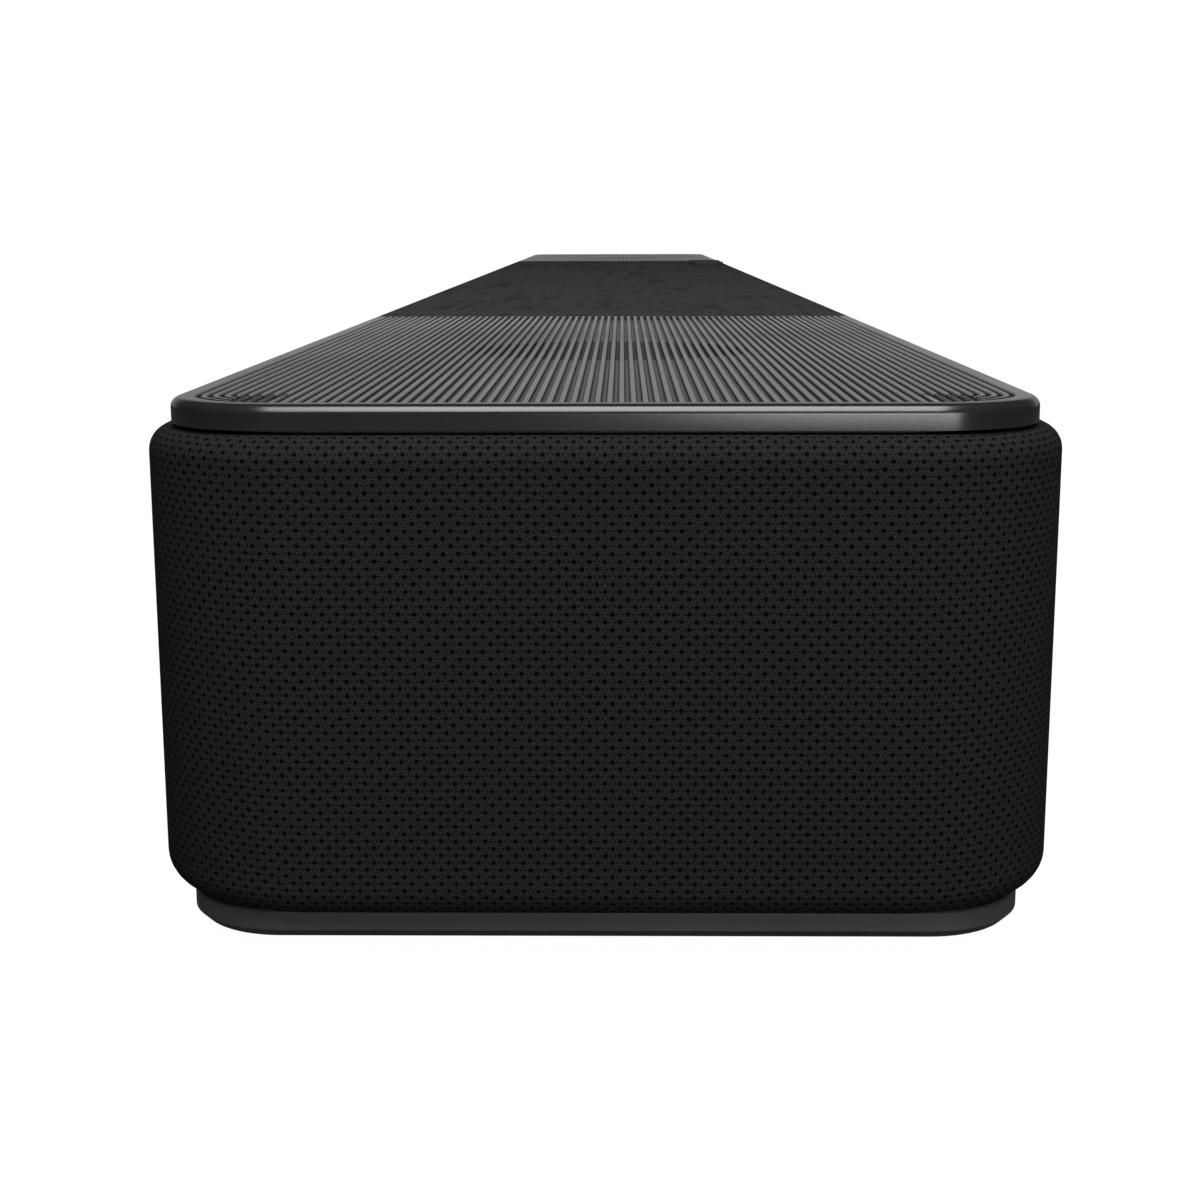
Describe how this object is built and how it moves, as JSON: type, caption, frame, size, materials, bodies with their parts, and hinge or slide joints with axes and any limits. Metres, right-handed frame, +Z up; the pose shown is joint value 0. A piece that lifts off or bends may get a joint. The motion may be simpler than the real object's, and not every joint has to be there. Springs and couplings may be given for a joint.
{
  "type": "soundbar",
  "caption": "Long, low television soundbar wrapped in perforated fabric, with ribbed end panels, a wood-grain centre panel, push-and-turn control knobs and a rear connection bay.",
  "frame": {"origin": "middle of the length and depth, on the surface that the feet stand on", "axes": "+X along the bar to the listener's right, -Y towards the listener, +Z up"},
  "size_m": [1.1176, 0.126, 0.078],
  "materials": {
    "base_plastic": "fine-textured matt black plastic",
    "foot_rubber": "dull moulded rubber",
    "bright_steel": "plated steel",
    "cover_fabric": "black perforated knit, stretched tight",
    "inner_plastic": "plain moulded black plastic",
    "ribbed_plastic": "black satin plastic with fine grooves, dull inside them",
    "dark_wood": "black-stained open-grain finish, matt",
    "knob_metal": "matt black",
    "port_plastic": "smooth black plastic",
    "driver_steel": "black-coated pressed steel and magnet",
    "cone_metal": "satin anodised cone with a dark surround",
    "cone_paper": "coated pulp cone with a rubber surround",
    "circuit_board": "green solder mask with black parts",
    "heat_sink_metal": "extruded, natural",
    "winding_tape": "yellow tape over copper windings",
    "display_tint": "smoked clear plastic"
  },
  "bodies": {
    "cabinet": {"bottom_case": "base_plastic", "rear_panel_left": "base_plastic", "rear_panel_middle": "base_plastic", "rear_panel_right": "base_plastic", "foot_front_left": "foot_rubber", "foot_front_right": "foot_rubber", "foot_back_left": "foot_rubber", "foot_back_right": "foot_rubber", "case_screw_front_left": "bright_steel", "case_screw_front_right": "bright_steel", "case_screw_back_left": "bright_steel", "case_screw_back_right": "bright_steel", "keyhole_plate_left": "bright_steel", "keyhole_plate_right": "bright_steel", "fabric_cover": "cover_fabric", "connection_well": "inner_plastic", "grille_frame": "inner_plastic", "front_baffle": "inner_plastic", "top_deck": "inner_plastic", "tweeter_horn": "inner_plastic", "ribbed_panel_left": "ribbed_plastic", "ribbed_panel_right": "ribbed_plastic", "wood_panel": "dark_wood", "data_port": "bright_steel", "video_port": "bright_steel", "subwoofer_out_jack": "bright_steel", "source_encoder": "port_plastic", "volume_encoder": "port_plastic", "optical_port": "port_plastic", "mains_inlet": "port_plastic", "front_left_driver_frame": "driver_steel", "centre_left_driver_frame": "driver_steel", "centre_right_driver_frame": "driver_steel", "front_right_driver_frame": "driver_steel", "left_height_driver_frame": "driver_steel", "right_height_driver_frame": "driver_steel", "left_subwoofer_frame": "driver_steel", "right_subwoofer_frame": "driver_steel", "tweeter_driver": "driver_steel", "main_board": "circuit_board", "power_board": "circuit_board", "control_board": "circuit_board", "display_board": "circuit_board", "heat_sink": "heat_sink_metal", "transformer": "winding_tape", "display_lens": "display_tint"},
    "source_press": {"source_switch_plunger": "port_plastic"},
    "source_dial": {"source_knob": "knob_metal", "source_shaft": "bright_steel"},
    "volume_press": {"volume_switch_plunger": "port_plastic"},
    "volume_dial": {"volume_knob": "knob_metal", "volume_shaft": "bright_steel"},
    "front_left_cone": {"front_left_driver_cone": "cone_metal"},
    "centre_left_cone": {"centre_left_driver_cone": "cone_metal"},
    "centre_right_cone": {"centre_right_driver_cone": "cone_metal"},
    "front_right_cone": {"front_right_driver_cone": "cone_metal"},
    "left_height_cone": {"left_height_driver_cone": "cone_metal"},
    "right_height_cone": {"right_height_driver_cone": "cone_metal"},
    "left_subwoofer_cone": {"left_subwoofer_cone": "cone_paper"},
    "right_subwoofer_cone": {"right_subwoofer_cone": "cone_paper"}
  },
  "joints": [
    {"name": "source_click", "type": "slide", "parent": "cabinet", "child": "source_press", "axis": [0, 0, -1], "range_m": [0, 0.0005], "stiffness_N_per_m": 5000},
    {"name": "source_turn", "type": "hinge", "parent": "source_press", "child": "source_dial", "pos_m": [0.215, -0.047, 0.076], "axis": [0, 0, 1], "continuous": true},
    {"name": "volume_click", "type": "slide", "parent": "cabinet", "child": "volume_press", "axis": [0, 0, -1], "range_m": [0, 0.0005], "stiffness_N_per_m": 5000},
    {"name": "volume_turn", "type": "hinge", "parent": "volume_press", "child": "volume_dial", "pos_m": [0.25, -0.047, 0.076], "axis": [0, 0, 1], "continuous": true},
    {"name": "front_left_cone_travel", "type": "slide", "parent": "cabinet", "child": "front_left_cone", "axis": [0, -1, 0], "range_m": [-0.002, 0.002], "stiffness_N_per_m": 1500},
    {"name": "centre_left_cone_travel", "type": "slide", "parent": "cabinet", "child": "centre_left_cone", "axis": [0, -1, 0], "range_m": [-0.002, 0.002], "stiffness_N_per_m": 1500},
    {"name": "centre_right_cone_travel", "type": "slide", "parent": "cabinet", "child": "centre_right_cone", "axis": [0, -1, 0], "range_m": [-0.002, 0.002], "stiffness_N_per_m": 1500},
    {"name": "front_right_cone_travel", "type": "slide", "parent": "cabinet", "child": "front_right_cone", "axis": [0, -1, 0], "range_m": [-0.002, 0.002], "stiffness_N_per_m": 1500},
    {"name": "left_height_cone_travel", "type": "slide", "parent": "cabinet", "child": "left_height_cone", "axis": [0, 0, 1], "range_m": [-0.002, 0.002], "stiffness_N_per_m": 1500},
    {"name": "right_height_cone_travel", "type": "slide", "parent": "cabinet", "child": "right_height_cone", "axis": [0, 0, 1], "range_m": [-0.002, 0.002], "stiffness_N_per_m": 1500},
    {"name": "left_subwoofer_cone_travel", "type": "slide", "parent": "cabinet", "child": "left_subwoofer_cone", "axis": [0, 0, -1], "range_m": [-0.004, 0.004], "stiffness_N_per_m": 1500},
    {"name": "right_subwoofer_cone_travel", "type": "slide", "parent": "cabinet", "child": "right_subwoofer_cone", "axis": [0, 0, -1], "range_m": [-0.004, 0.004], "stiffness_N_per_m": 1500}
  ]
}
